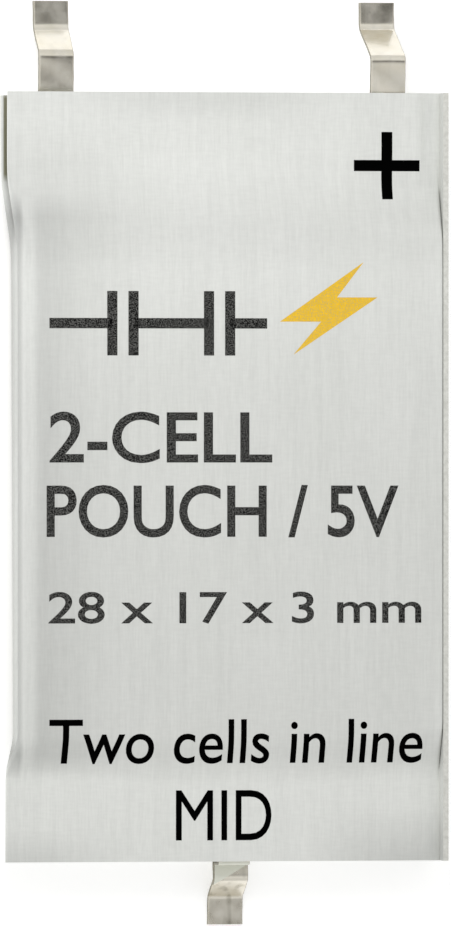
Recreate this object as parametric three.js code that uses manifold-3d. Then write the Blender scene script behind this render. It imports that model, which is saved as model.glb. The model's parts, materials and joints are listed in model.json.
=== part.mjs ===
// Dual-cell pouch capacitor: two flat cells in aluminium laminate pouches, stacked, bonded
// together and joined in series, with three gull-wing terminals that are soldered to a board.
//
// Millimetres, +Z up. The origin is the middle of the underside, in the plane of the board.
// +Y points to the end with two terminals, +X to the positive one.
// Each cell holds a stack of carbon-coated foils between the layers of a folded separator.

import * as THREE from 'three';
import { mergeVertices } from 'three/addons/utils/BufferGeometryUtils.js';
import Module from 'manifold-3d';

const wasm = await Module();
wasm.setup();

// ---------------------------------------------------------------- driving dimensions

const HALF_LENGTH = 14.25;        // the 28.5 mm body, from its middle to either end
const CELL_THICKNESS = 1.31;
const BOND_THICKNESS = 0.08;      // 1.31 + 0.08 + 1.31 = 2.70 mm overall
const CLEARANCE = 0.01;           // between pieces that touch on a slant or slide in a slot

// Laminate pouch: one sheet folded along the left side and sealed along the other three.
const FILM = 0.1;                 // one layer
const WALL_X = 7.99;              // outside of the right wall
const FLANGE_INNER_X = WALL_X + CLEARANCE;      // folded side seal, two layers thick
const FLANGE_OUTER_X = FLANGE_INNER_X + 2 * FILM;
const FLANGE_HEIGHT = 0.82;
const WALL_CORNER = 0.12;         // outside radius where the faces meet the right wall
const FULL_FROM = -9.6;           // the pouch has its full thickness between these two
const FULL_TO = 9.1;
const SLOPE_DOWN = 1.6;           // from full thickness to the flat end seal, towards -Y
const SLOPE_UP = 2.1;             // the same, towards +Y
const SLOPE_STEPS = 5;
const FOLD_STEPS = 12;
const CORNER_STEPS = 3;

// Electrode stack of one cell.
const FOIL = 0.03;
const COATING = 0.08;
const SEPARATOR = 0.04;
const STACK_SLACK = 0.075;        // between the stack and the pouch, above and below
const ELECTRODE = FOIL + 2 * COATING;
const PITCH = ELECTRODE + SEPARATOR;
const ELECTRODE_COUNT = 4;
const STACK_LEFT = -7.2;
const STACK_RIGHT = 7.55;
const STACK_FROM = -8.95;
const STACK_TO = 8.4;
const SEPARATOR_MARGIN = 0.12;    // the separator stands out past the electrodes

// Terminals and the sealing strips round them.
const TERMINAL_WIDTH = 1.33;
const TERMINAL_THICKNESS = 0.1;
const BEND_STEPS = 5;
const TONGUE_WIDTH = 1.2;
const STRIP = 0.04;               // thickness of one sealing strip
const STRIP_MARGIN = 0.35;        // a strip is this much wider than its terminal on each side
const STRIP_INNER = 11.25;        // |y| of the strip's end inside the pouch
const TERMINAL_INNER = 10.35;     // |y| of the terminal's end inside the pouch
const WELD_OUTER = 11.15;         // |y| where the foils' tongues end on the terminal
const TAB_RIDGE = 0.21;           // half-thickness of the seal where it rises over a terminal
const TAB_RIDGE_MARGIN = 0.14;
const SLOT_HALF = TERMINAL_THICKNESS / 2 + STRIP + CLEARANCE;

const CELLS = {
  lower: {
    bottom: 0,
    top: CELL_THICKNESS,
    seal: 1.02,                   // height of the end seals and of the terminals in them
    topEnd: 14.12,                // y of the film's end at the two terminals
    flatLeft: [-8.2, -8.45],      // left edge of the flat seals, at the lowest and highest y
    fullLeft: [-7.86, -8.03],     // left edge of the filled fold, on the same two lines
    flangeSide: -1,               // the side seal is folded down
    tongueEnds: { negative: 1, positive: -1 },
    bottomFoil: 'negative',
  },
  upper: {
    bottom: CELL_THICKNESS + BOND_THICKNESS,
    top: 2 * CELL_THICKNESS + BOND_THICKNESS,
    seal: 1.92,
    topEnd: HALF_LENGTH,
    flatLeft: [-8.43, -8.36],
    fullLeft: [-7.97, -7.97],
    flangeSide: 1,                // the side seal is folded up
    tongueEnds: { positive: 1, negative: -1 },
    bottomFoil: 'positive',
  },
};

// Terminal positions across the width. Both cells' inner terminals meet in the middle.
const NEGATIVE_X = -6.35;
const POSITIVE_X = 6.03;
const MID_X = 0.26;
const TAB_X = {
  lower: { negative: NEGATIVE_X, positive: MID_X },
  upper: { negative: MID_X, positive: POSITIVE_X },
};

const STRIP_SHOWS = 0.02;         // how far each sealing strip shows past the pouch's end

// Gull-wing bends, as y where the flat ends, where the foot starts and where it ends. The flat
// rises a little from the pouch to its first bend. The radii are those of the last two bends.
const EXIT_RADIUS = 0.4;
const GULL_WINGS = {
  negative: { flatEnd: 15.7, footStart: 16.62, footEnd: 17.65, rise: 0.12, radii: [0.3, 0.36] },
  positive: { flatEnd: 15.58, footStart: 16.66, footEnd: 17.65, rise: 0.18, radii: [0.25, 0.36] },
  mid: { flatEnd: -14.92, footStart: -15.58, footEnd: -16.63, rise: 0.06, radii: [0.2, 0.12] },
};

// The upper cell's inner tab, where it steps down and laps the middle terminal.
const JOIN_WIDTH = 1.2;
const JOIN_X = 0.2;
const JOIN_STEP_RADIUS = 0.06;
const JOIN_STEP_FROM = -14.335;
const JOIN_STEP_TO = -14.345;
const JOIN_LAP_DOWN_SLOPE = 0.55;
const JOIN_CUT_RIGHT_Y = -14.42;  // where the slanting cut meets the tab's right edge
const JOIN_CUT_SLOPE = 0.6;       // rise of the cut in Y for each millimetre in X

// Tape between the two cells.
const BOND_X = [-7.1, 7.7];
const BOND_Y = [-9.5, 9.0];

// ---------------------------------------------------------------- materials

const material = (color, roughness, metalness) =>
  new THREE.MeshStandardMaterial({ color, roughness, metalness });

const LAMINATE = material(0xd6d7d2, 0.42, 0.75);
const NICKEL = material(0xcfc9b8, 0.32, 1.0);
const ALUMINIUM_TAB = material(0xc9c9c0, 0.36, 1.0);
const ALUMINIUM_FOIL = material(0xd4d6d8, 0.3, 1.0);
const CARBON = material(0x1b1b1d, 0.95, 0.0);
const SEPARATOR_PAPER = material(0xf3f1ea, 0.9, 0.0);
const SEALING_FILM = material(0xe9e6d6, 0.45, 0.0);
const BONDING_TAPE = material(0x84826a, 0.7, 0.0);

// ---------------------------------------------------------------- solid helpers

const { lerp, smoothstep } = THREE.MathUtils;

function box(x, y, z) {
  const geometry = new THREE.BoxGeometry(x[1] - x[0], y[1] - y[0], z[1] - z[0]);
  geometry.translate((x[0] + x[1]) / 2, (y[0] + y[1]) / 2, (z[0] + z[1]) / 2);
  return geometry;
}

function toSolid(geometry) {
  const bare = geometry.clone();
  bare.deleteAttribute('normal');
  bare.deleteAttribute('uv');
  const merged = mergeVertices(bare, 1e-5);
  return new wasm.Manifold(new wasm.Mesh({
    numProp: 3,
    vertProperties: new Float32Array(merged.attributes.position.array),
    triVerts: new Uint32Array(merged.index.array),
  }));
}

function toGeometry(solid) {
  const mesh = solid.getMesh();
  const geometry = new THREE.BufferGeometry();
  geometry.setAttribute('position', new THREE.BufferAttribute(mesh.vertProperties, 3));
  geometry.setIndex(new THREE.BufferAttribute(mesh.triVerts, 1));
  return geometry;
}

// A closed skin over equal rings of points, with a fan at each end. Each ring runs
// anticlockwise as seen from the end that the rings start at.
function loft(rings) {
  const count = rings[0].length;
  const positions = rings.flat().flatMap((point) => point.toArray());
  const indices = [];
  for (let r = 0; r + 1 < rings.length; r += 1) {
    for (let i = 0; i < count; i += 1) {
      const next = (i + 1) % count;
      const a = r * count + i;
      const b = r * count + next;
      indices.push(a, b + count, b, a, a + count, b + count);
    }
  }
  const last = rings.length - 1;
  for (const [ring, flip] of [[0, false], [last, true]]) {
    const centre = rings[ring].reduce((sum, p) => sum.add(p), new THREE.Vector3());
    const hub = positions.push(...centre.divideScalar(count).toArray()) / 3 - 1;
    for (let i = 0; i < count; i += 1) {
      const a = ring * count + i;
      const b = ring * count + ((i + 1) % count);
      indices.push(...(flip ? [hub, b, a] : [hub, a, b]));
    }
  }
  const geometry = new THREE.BufferGeometry();
  geometry.setAttribute('position', new THREE.Float32BufferAttribute(positions, 3));
  geometry.setIndex(indices);
  return geometry;
}

// A path through the given points. Each corner between them is rounded to its own radius.
function roundedPath(points, radii, steps) {
  const path = [points[0]];
  for (let i = 1; i + 1 < points.length; i += 1) {
    const corner = points[i];
    const radius = radii[i - 1];
    const back = points[i - 1].clone().sub(corner).normalize();
    const ahead = points[i + 1].clone().sub(corner).normalize();
    const halfAngle = Math.acos(THREE.MathUtils.clamp(back.dot(ahead), -1, 1)) / 2;
    const reach = radius / Math.tan(halfAngle);
    const centre = back.clone().add(ahead).normalize()
      .multiplyScalar(radius / Math.sin(halfAngle)).add(corner);
    const start = back.multiplyScalar(reach).add(corner).sub(centre);
    const end = ahead.multiplyScalar(reach).add(corner).sub(centre);
    const turn = Math.atan2(start.cross(end), start.dot(end));
    for (let s = 0; s <= steps; s += 1) {
      const spoke = start.clone().rotateAround(new THREE.Vector2(), (turn * s) / steps);
      path.push(spoke.add(centre));
    }
  }
  path.push(points[points.length - 1]);
  return path;
}

// The outline of a sheet seen edge on, as it follows a path.
function sheetOutline(path, thickness) {
  const left = [];
  const right = [];
  path.forEach((point, i) => {
    const before = path[Math.max(i - 1, 0)];
    const after = path[Math.min(i + 1, path.length - 1)];
    const arriving = (i > 0 ? point.clone().sub(before) : after.clone().sub(point)).normalize();
    const leaving = (i + 1 < path.length ? after.clone().sub(point) : arriving.clone()).normalize();
    const mean = arriving.clone().add(leaving).normalize();
    const offset = thickness / 2 / mean.dot(arriving);
    const across = new THREE.Vector2(-mean.y, mean.x).multiplyScalar(offset);
    left.push(point.clone().add(across));
    right.push(point.clone().sub(across));
  });
  return new THREE.Shape([...left, ...right.reverse()]);
}

// Extrudes an outline drawn in Y and Z along X.
function extrudeAlongX(outline, from, to) {
  const geometry = new THREE.ExtrudeGeometry(outline, { depth: to - from, bevelEnabled: false });
  const turn = new THREE.Matrix4().makeBasis(
    new THREE.Vector3(0, 1, 0), new THREE.Vector3(0, 0, 1), new THREE.Vector3(1, 0, 0));
  return geometry.applyMatrix4(turn).translate(from, 0, 0);
}

// Extrudes an outline drawn in X and Z along Y.
function extrudeAlongY(outline, from, to) {
  const geometry = new THREE.ExtrudeGeometry(outline, { depth: to - from, bevelEnabled: false });
  const turn = new THREE.Matrix4().makeBasis(
    new THREE.Vector3(1, 0, 0), new THREE.Vector3(0, 0, 1), new THREE.Vector3(0, -1, 0));
  return geometry.applyMatrix4(turn).translate(0, to, 0);
}

// A strip of sheet metal that follows a path in Y and Z, with its width along X.
function metalStrip(path, thickness, centreX, width) {
  return extrudeAlongX(sheetOutline(path, thickness), centreX - width / 2, centreX + width / 2);
}

// ---------------------------------------------------------------- pouch

// 0 in the flat end seals, 1 over the electrode stack.
function swellAt(y) {
  const fromTop = smoothstep(y, FULL_TO, FULL_TO + SLOPE_UP);
  const fromBottom = smoothstep(-y, -FULL_FROM, -FULL_FROM + SLOPE_DOWN);
  return 1 - Math.max(fromTop, fromBottom);
}

function arc(centreX, centreZ, radius, from, to, steps) {
  const points = [];
  for (let i = 0; i <= steps; i += 1) {
    const angle = lerp(from, to, i / steps);
    points.push([centreX + radius * Math.cos(angle), centreZ + radius * Math.sin(angle)]);
  }
  return points;
}

// The pouch's cross-section at one y: a round fold on the left, a wall with small corners
// on the right. The inset is 0 for the outside and one layer of film for the inside.
function pouchSection(cell, y, inset) {
  const swell = swellAt(y);
  const top = lerp(cell.seal + FILM, cell.top, swell) - inset;
  const bottom = lerp(cell.seal - FILM, cell.bottom, swell) + inset;
  const middle = (top + bottom) / 2;
  const foldRadius = (top - bottom) / 2;
  const share = (y / HALF_LENGTH + 1) / 2;
  const flatEdge = lerp(...cell.flatLeft, share);
  const fullEdge = lerp(...cell.fullLeft, share);
  const foldX = lerp(flatEdge, fullEdge, swell) + inset + foldRadius;
  const corner = Math.min(WALL_CORNER - inset, 0.9 * foldRadius);
  const cornerX = WALL_X - inset - corner;
  return [
    ...arc(foldX, middle, foldRadius, Math.PI / 2, 1.5 * Math.PI, FOLD_STEPS),
    ...arc(cornerX, bottom + corner, corner, -Math.PI / 2, 0, CORNER_STEPS),
    ...arc(cornerX, top - corner, corner, 0, Math.PI / 2, CORNER_STEPS),
  ].map(([x, z]) => new THREE.Vector3(x, y, z));
}

function stationsBetween(from, to) {
  const stations = [];
  for (let i = 0; i <= SLOPE_STEPS; i += 1) {
    stations.push(lerp(from, to, i / SLOPE_STEPS));
  }
  return stations;
}

function pouchOutside(cell) {
  const ys = [
    -HALF_LENGTH,
    ...stationsBetween(FULL_FROM - SLOPE_DOWN, FULL_FROM),
    ...stationsBetween(FULL_TO, FULL_TO + SLOPE_UP),
    cell.topEnd,
  ];
  return toSolid(loft(ys.map((y) => pouchSection(cell, y, 0))));
}

// The hollow tapers off just short of the flat seals.
function pouchInside(cell) {
  const openShare = 0.8;
  const ys = [
    ...stationsBetween(FULL_FROM - openShare * SLOPE_DOWN, FULL_FROM),
    ...stationsBetween(FULL_TO, FULL_TO + openShare * SLOPE_UP),
  ];
  return toSolid(loft(ys.map((y) => pouchSection(cell, y, FILM))));
}

// The side seal: a web at seal height and a leg that is folded against the wall.
function sideFlange(cell) {
  const length = [-HALF_LENGTH, cell.topEnd];
  const near = cell.seal - cell.flangeSide * FILM;
  const far = near + cell.flangeSide * FLANGE_HEIGHT;
  const web = box([WALL_X - FILM / 2, FLANGE_OUTER_X], length, [cell.seal - FILM, cell.seal + FILM]);
  const leg = box([FLANGE_INNER_X, FLANGE_OUTER_X], length, [Math.min(near, far), Math.max(near, far)]);
  return toSolid(web).add(toSolid(leg));
}

// The stretch of y in one end seal, from |y| = inner to a little past the film's end.
function alongSeal(cell, end, inner, past) {
  return end > 0 ? [inner, cell.topEnd + past] : [-HALF_LENGTH - past, -inner];
}

// The seal rises in a flat ridge over each terminal and its strips, with a slot through it.
function pouchFilm(cell, tabs) {
  let solid = pouchOutside(cell).add(sideFlange(cell));
  const stripHalf = TERMINAL_WIDTH / 2 + STRIP_MARGIN;
  const ridgeHalf = stripHalf + TAB_RIDGE_MARGIN;
  const slotHalf = stripHalf + CLEARANCE;
  for (const { x, end } of tabs) {
    const ridge = box([x - ridgeHalf, x + ridgeHalf], alongSeal(cell, end, TERMINAL_INNER, 0),
      [cell.seal - TAB_RIDGE, cell.seal + TAB_RIDGE]);
    solid = solid.add(toSolid(ridge));
  }
  solid = solid.subtract(pouchInside(cell));
  for (const { x, end } of tabs) {
    const slot = box([x - slotHalf, x + slotHalf], alongSeal(cell, end, TERMINAL_INNER - 0.2, 1),
      [cell.seal - SLOT_HALF, cell.seal + SLOT_HALF]);
    solid = solid.subtract(toSolid(slot));
  }
  return toGeometry(solid);
}

// ---------------------------------------------------------------- electrode stack

function foilBottom(cell, index) {
  return cell.bottom + FILM + STACK_SLACK + SEPARATOR + COATING + index * PITCH;
}

// A foil with an uncoated tongue that runs to its terminal. Of the two foils on a terminal,
// one tongue lies under it and the other over it.
function electrodeFoil(cell, index, tabX, end) {
  const low = foilBottom(cell, index);
  const plate = box([STACK_LEFT, STACK_RIGHT], [STACK_FROM, STACK_TO], [low, low + FOIL]);
  const stackEnd = end > 0 ? STACK_TO : -STACK_FROM;
  const over = index >= ELECTRODE_COUNT / 2;
  const reach = TERMINAL_THICKNESS / 2 + FOIL / 2 + CLEARANCE;
  const weldZ = cell.seal + (over ? reach : -reach);
  const startZ = low + FOIL / 2;
  const route = [
    [stackEnd - 0.3, startZ],
    [stackEnd + SEPARATOR_MARGIN + 0.08, startZ],
    [TERMINAL_INNER - 0.05, weldZ],
    [WELD_OUTER, weldZ],
  ].map(([distance, z]) => new THREE.Vector2(end * distance, z));
  const tongue = metalStrip(route, FOIL, tabX, TONGUE_WIDTH);
  return toGeometry(toSolid(plate).add(toSolid(tongue)));
}

function coating(cell, index, above) {
  const low = foilBottom(cell, index) + (above ? FOIL : -COATING);
  return box([STACK_LEFT, STACK_RIGHT], [STACK_FROM, STACK_TO], [low, low + COATING]);
}

// One strip folded back and forth, so that each electrode lies in its own pocket.
function foldedSeparator(cell) {
  const left = STACK_LEFT - SEPARATOR_MARGIN;
  const right = STACK_RIGHT + SEPARATOR_MARGIN;
  const base = cell.bottom + FILM + STACK_SLACK + SEPARATOR / 2;
  const path = [];
  for (let layer = 0; layer <= ELECTRODE_COUNT; layer += 1) {
    const z = base + layer * PITCH;
    const ends = layer % 2 === 0 ? [left, right] : [right, left];
    path.push(...ends.map((x) => new THREE.Vector2(x, z)));
  }
  return extrudeAlongY(sheetOutline(path, SEPARATOR),
    STACK_FROM - SEPARATOR_MARGIN, STACK_TO + SEPARATOR_MARGIN);
}

// ---------------------------------------------------------------- terminals

// A terminal that leaves one end seal, slopes down and ends in a foot on the board.
function gullWing(x, seal, { flatEnd, footStart, footEnd, rise, radii }) {
  const end = Math.sign(footEnd);
  const footZ = TERMINAL_THICKNESS / 2;
  const corners = [
    [end * TERMINAL_INNER, seal], [end * HALF_LENGTH, seal], [flatEnd, seal + rise],
    [footStart, footZ], [footEnd, footZ],
  ].map(([y, z]) => new THREE.Vector2(y, z));
  const path = roundedPath(corners, [EXIT_RADIUS, ...radii], BEND_STEPS);
  return metalStrip(path, TERMINAL_THICKNESS, x, TERMINAL_WIDTH);
}

// The upper cell's inner tab steps down onto the middle terminal, follows its bend at an even
// distance and ends in a slanting cut.
function joiningTab() {
  const { flatEnd, footStart, rise, radii } = GULL_WINGS.mid;
  const lowerZ = CELLS.lower.seal + rise;
  const upperZ = CELLS.upper.seal;
  const distance = TERMINAL_THICKNESS + CLEARANCE;
  const slope = new THREE.Vector2(footStart - flatEnd, TERMINAL_THICKNESS / 2 - lowerZ);
  const bendAngle = Math.atan2(slope.y, slope.x) + Math.PI;
  const lapEnd = new THREE.Vector2(flatEnd - distance * Math.tan(bendAngle / 2), lowerZ + distance);
  const corners = [
    new THREE.Vector2(-TERMINAL_INNER, upperZ),
    new THREE.Vector2(JOIN_STEP_FROM, upperZ),
    new THREE.Vector2(JOIN_STEP_TO, lapEnd.y),
    lapEnd,
    lapEnd.clone().addScaledVector(slope.normalize(), JOIN_LAP_DOWN_SLOPE),
  ];
  const path = roundedPath(corners, [JOIN_STEP_RADIUS, JOIN_STEP_RADIUS, radii[0] + distance], BEND_STEPS);
  const tab = metalStrip(path, TERMINAL_THICKNESS, JOIN_X, JOIN_WIDTH);
  const past = 2 * JOIN_WIDTH;
  const rightX = JOIN_X + JOIN_WIDTH / 2;
  const cutAt = (x) => new THREE.Vector2(x, JOIN_CUT_RIGHT_Y - (rightX - x) * JOIN_CUT_SLOPE);
  const knifeOutline = new THREE.Shape([
    cutAt(rightX + past), cutAt(rightX - past), new THREE.Vector2(JOIN_X, footStart - past),
  ]);
  const knife = new THREE.ExtrudeGeometry(knifeOutline, { depth: 2 * upperZ, bevelEnabled: false });
  return toGeometry(toSolid(tab).subtract(toSolid(knife)));
}

// A sealing strip on one face of a terminal, where it passes through the end seal.
function sealingStrip(cell, x, end, above) {
  const half = TERMINAL_WIDTH / 2 + STRIP_MARGIN;
  const near = cell.seal + (above ? TERMINAL_THICKNESS / 2 : -TERMINAL_THICKNESS / 2 - STRIP);
  return box([x - half, x + half], alongSeal(cell, end, STRIP_INNER, STRIP_SHOWS), [near, near + STRIP]);
}

// ---------------------------------------------------------------- assembly

const capacitor = new THREE.Group();

function addPiece(group, name, geometry, finish) {
  const mesh = new THREE.Mesh(geometry, finish);
  mesh.name = name;
  group.add(mesh);
}

function buildCell(cellName) {
  const cell = CELLS[cellName];
  const group = new THREE.Group();
  const tabs = Object.entries(TAB_X[cellName])
    .map(([polarity, x]) => ({ polarity, x, end: cell.tongueEnds[polarity] }));
  addPiece(group, `${cellName}_cell_pouch_film`, pouchFilm(cell, tabs), LAMINATE);
  addPiece(group, `${cellName}_cell_separator`, foldedSeparator(cell), SEPARATOR_PAPER);
  const polarities = cell.bottomFoil === 'positive' ? ['positive', 'negative'] : ['negative', 'positive'];
  for (let index = 0; index < ELECTRODE_COUNT; index += 1) {
    const polarity = polarities[index % 2];
    const { x, end } = tabs.find((tab) => tab.polarity === polarity);
    const name = `${cellName}_cell_${polarity}_foil_${Math.floor(index / 2) + 1}`;
    addPiece(group, name, electrodeFoil(cell, index, x, end), ALUMINIUM_FOIL);
    addPiece(group, `${name}_top_coating`, coating(cell, index, true), CARBON);
    addPiece(group, `${name}_bottom_coating`, coating(cell, index, false), CARBON);
  }
  for (const { polarity, x, end } of tabs) {
    for (const above of [true, false]) {
      const name = `${cellName}_cell_${polarity}_seal_strip_${above ? 'top' : 'bottom'}`;
      addPiece(group, name, sealingStrip(cell, x, end, above), SEALING_FILM);
    }
  }
  return group;
}

capacitor.add(buildCell('lower'), buildCell('upper'));
addPiece(capacitor, 'bonding_tape',
  box(BOND_X, BOND_Y, [CELLS.lower.top, CELLS.upper.bottom]), BONDING_TAPE);
addPiece(capacitor, 'negative_terminal',
  gullWing(NEGATIVE_X, CELLS.lower.seal, GULL_WINGS.negative), NICKEL);
addPiece(capacitor, 'positive_terminal',
  gullWing(POSITIVE_X, CELLS.upper.seal, GULL_WINGS.positive), NICKEL);
addPiece(capacitor, 'middle_terminal',
  gullWing(MID_X, CELLS.lower.seal, GULL_WINGS.mid), NICKEL);
addPiece(capacitor, 'joining_tab', joiningTab(), ALUMINIUM_TAB);

export default capacitor;
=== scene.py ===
"""Looks of a dual-cell pouch capacitor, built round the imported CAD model.

Two laminate pouches are modelled as what they are, one folded and sealed sheet each. The
terminals, joining tab and seal strips are modelled as bent strips, and the print as thin ink.
Shapes are worked out in millimetres and turned into metres when their mesh is made.
"""

import json
import math

import bmesh
import bpy
import numpy as np
from mathutils import Matrix, Vector
from mathutils.bvhtree import BVHTree


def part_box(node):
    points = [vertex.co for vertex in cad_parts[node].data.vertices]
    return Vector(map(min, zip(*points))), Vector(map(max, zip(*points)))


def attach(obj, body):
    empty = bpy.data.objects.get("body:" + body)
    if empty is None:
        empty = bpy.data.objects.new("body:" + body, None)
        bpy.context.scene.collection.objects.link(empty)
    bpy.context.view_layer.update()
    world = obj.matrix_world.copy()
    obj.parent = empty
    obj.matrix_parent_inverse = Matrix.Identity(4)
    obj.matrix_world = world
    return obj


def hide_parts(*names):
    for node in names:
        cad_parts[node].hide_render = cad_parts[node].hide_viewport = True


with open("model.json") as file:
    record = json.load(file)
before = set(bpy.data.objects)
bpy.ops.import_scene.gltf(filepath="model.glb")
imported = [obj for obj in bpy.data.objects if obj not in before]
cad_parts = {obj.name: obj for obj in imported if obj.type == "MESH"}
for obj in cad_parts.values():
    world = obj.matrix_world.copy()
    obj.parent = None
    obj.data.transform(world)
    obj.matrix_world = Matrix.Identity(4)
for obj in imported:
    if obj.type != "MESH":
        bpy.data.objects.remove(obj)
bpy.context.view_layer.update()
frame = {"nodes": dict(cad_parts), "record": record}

MM = 0.001


# ---------------------------------------- sizes from the frame

def box_mm(node):
    """A CAD node's lowest and highest corner, in millimetres."""
    low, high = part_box(node)
    return np.array(low) / MM, np.array(high) / MM


FILM = 0.1                      # thickness of one layer of laminate
METAL = 0.1                     # thickness of the terminals and of the joining tab
STRIP = 0.04                    # thickness of one seal strip
TOUCH_GAP = 0.0015              # half the gap that keeps the layers of a seal off one plane

upper_low, upper_high = box_mm("upper_cell_pouch_film")
lower_low, lower_high = box_mm("lower_cell_pouch_film")
negative_low, negative_high = box_mm("negative_terminal")
positive_low, positive_high = box_mm("positive_terminal")
middle_low, middle_high = box_mm("middle_terminal")

HALF_LENGTH = upper_high[1]
LOWER_TOP_END = lower_high[1]
TAB_WIDTH = negative_high[0] - negative_low[0]
UPPER_SEAL = 1.92               # height of the end seals, and of the terminals in them
LOWER_SEAL = 1.02
NEGATIVE_X = (negative_low[0] + negative_high[0]) / 2
POSITIVE_X = (positive_low[0] + positive_high[0]) / 2
MIDDLE_X = (middle_low[0] + middle_high[0]) / 2

WALL_X = 7.99                   # outside of the right wall
FLANGE_OUTER_X = upper_high[0]
FLANGE_INNER_X = FLANGE_OUTER_X - 2 * FILM
FLANGE_HEIGHT = 0.72            # above the seal's middle
STRIP_HALF = TAB_WIDTH / 2 + 0.35       # half the width of a seal strip


# ---------------------------------------- shape helpers

def lerp(a, b, t):
    return a + (b - a) * t


def smooth(t):
    """Eases a share from 0 to 1, with no kink at either end."""
    t = np.clip(t, 0.0, 1.0)
    return t * t * t * (t * (6 * t - 15) + 10)


def ramp(t, softness=0.14):
    """Rises evenly from 0 at t = 0 to 1 at t = 1, with rounded ends."""
    return 0.5 + (np.hypot(t, softness) - np.hypot(t - 1, softness)) / 2


def bell(distance, width):
    return np.exp(-((distance / width) ** 2))


def between(value, low, high, ease):
    """1 between two values, easing to 0 outside them."""
    return smooth((value - low) / ease + 0.5) * smooth((high - value) / ease + 0.5)


def spline(points, steps=10):
    """A uniform cubic B-spline that starts and ends at its end control points."""
    padded = np.vstack([2 * points[0] - points[1], points, 2 * points[-1] - points[-2]])
    t = np.arange(steps) / steps
    weights = np.stack([
        (1 - t) ** 3, 3 * t ** 3 - 6 * t ** 2 + 4, -3 * t ** 3 + 3 * t ** 2 + 3 * t + 1, t ** 3,
    ], axis=1) / 6
    windows = np.stack([padded[i:i + len(points) - 1] for i in range(4)], axis=1)
    curve = np.einsum("sk,nkd->nsd", weights, windows).reshape(-1, points.shape[1])
    return np.vstack([curve, points[-1]])


def resample(curve, shares):
    """Points at given shares of a curve's length."""
    lengths = np.linalg.norm(np.diff(curve, axis=0), axis=1)
    distance = np.concatenate([[0.0], np.cumsum(lengths)])
    at = shares * distance[-1]
    return np.stack([np.interp(at, distance, curve[:, k]) for k in range(curve.shape[1])], axis=1)


def grid_normals(grid):
    along = np.gradient(grid, axis=0)
    across = np.gradient(grid, axis=1)
    normals = np.cross(across, along)
    return normals / np.maximum(np.linalg.norm(normals, axis=2, keepdims=True), 1e-12)


# ---------------------------------------- mesh helpers

def add_object(name, data):
    piece = bpy.data.objects.new(name, data)
    bpy.context.scene.collection.objects.link(piece)
    return piece


def add_mesh(name, points, faces, materials, face_materials):
    """Makes a smooth-shaded mesh object from points in millimetres."""
    mesh = bpy.data.meshes.new(name)
    mesh.from_pydata((np.asarray(points, float) * MM).tolist(), [], faces)
    for material in materials:
        mesh.materials.append(material)
    mesh.polygons.foreach_set("use_smooth", [True] * len(mesh.polygons))
    mesh.polygons.foreach_set("material_index", face_materials)
    mesh.update()
    return add_object(name, mesh)


def place(piece, slot, *nodes):
    """Attaches a finished piece to the root body and hides the CAD nodes it stands for. The slot is not
    used.
    """
    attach(piece, "root")
    if nodes:
        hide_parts(*nodes)
    return piece


def mark_sharp(mesh, pairs):
    """Keeps the shading crisp along the edges between these pairs of points."""
    count = len(mesh.vertices)
    ends = np.zeros(2 * len(mesh.edges), np.int64)
    mesh.edges.foreach_get("vertices", ends)
    ends = np.sort(ends.reshape(-1, 2), axis=1)
    pairs = np.sort(np.asarray(pairs, np.int64), axis=1)
    sharp = np.isin(ends[:, 0] * count + ends[:, 1], pairs[:, 0] * count + pairs[:, 1])
    mesh.attributes.new("sharp_edge", "BOOLEAN", "EDGE").data.foreach_set("value", sharp)


def sheet_solid(name, grid, thickness, face_material, edge_material):
    """A closed sheet of even thickness about a grid of points, with crisp cut edges."""
    rows, columns, _ = grid.shape
    offset = grid_normals(grid) * thickness / 2
    points = np.concatenate([(grid + offset).reshape(-1, 3), (grid - offset).reshape(-1, 3)])
    count = rows * columns
    index = np.arange(count).reshape(rows, columns)
    a, b = index[:-1, :-1].ravel(), index[:-1, 1:].ravel()
    c, d = index[1:, 1:].ravel(), index[1:, :-1].ravel()
    front = np.stack([a, b, c, d], axis=1)
    back = np.stack([a, d, c, b], axis=1) + count
    rim = np.concatenate([index[0, :-1], index[:-1, -1], index[-1, :0:-1], index[:0:-1, 0]])
    following = np.roll(rim, -1)
    edge = np.stack([following, rim, rim + count, following + count], axis=1)
    faces = np.concatenate([front, back, edge]).tolist()
    face_materials = [0] * (len(front) + len(back)) + [1] * len(edge)
    piece = add_mesh(name, points, faces, [face_material, edge_material], face_materials)
    pairs = np.stack([rim, following], axis=1)
    corners = index[[0, 0, -1, -1], [0, -1, 0, -1]]
    across = np.stack([corners, corners + count], axis=1)
    mark_sharp(piece.data, np.concatenate([pairs, pairs + count, across]))
    return piece


# ---------------------------------------- material helpers

def fill_ramp(ramp, stops):
    """Gives a colour ramp its (position, colour) stops."""
    while len(ramp.elements) < len(stops):
        ramp.elements.new(0.5)
    for element, (position, colour) in zip(ramp.elements, stops):
        element.position = position
        element.color = (*colour, 1)


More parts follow.
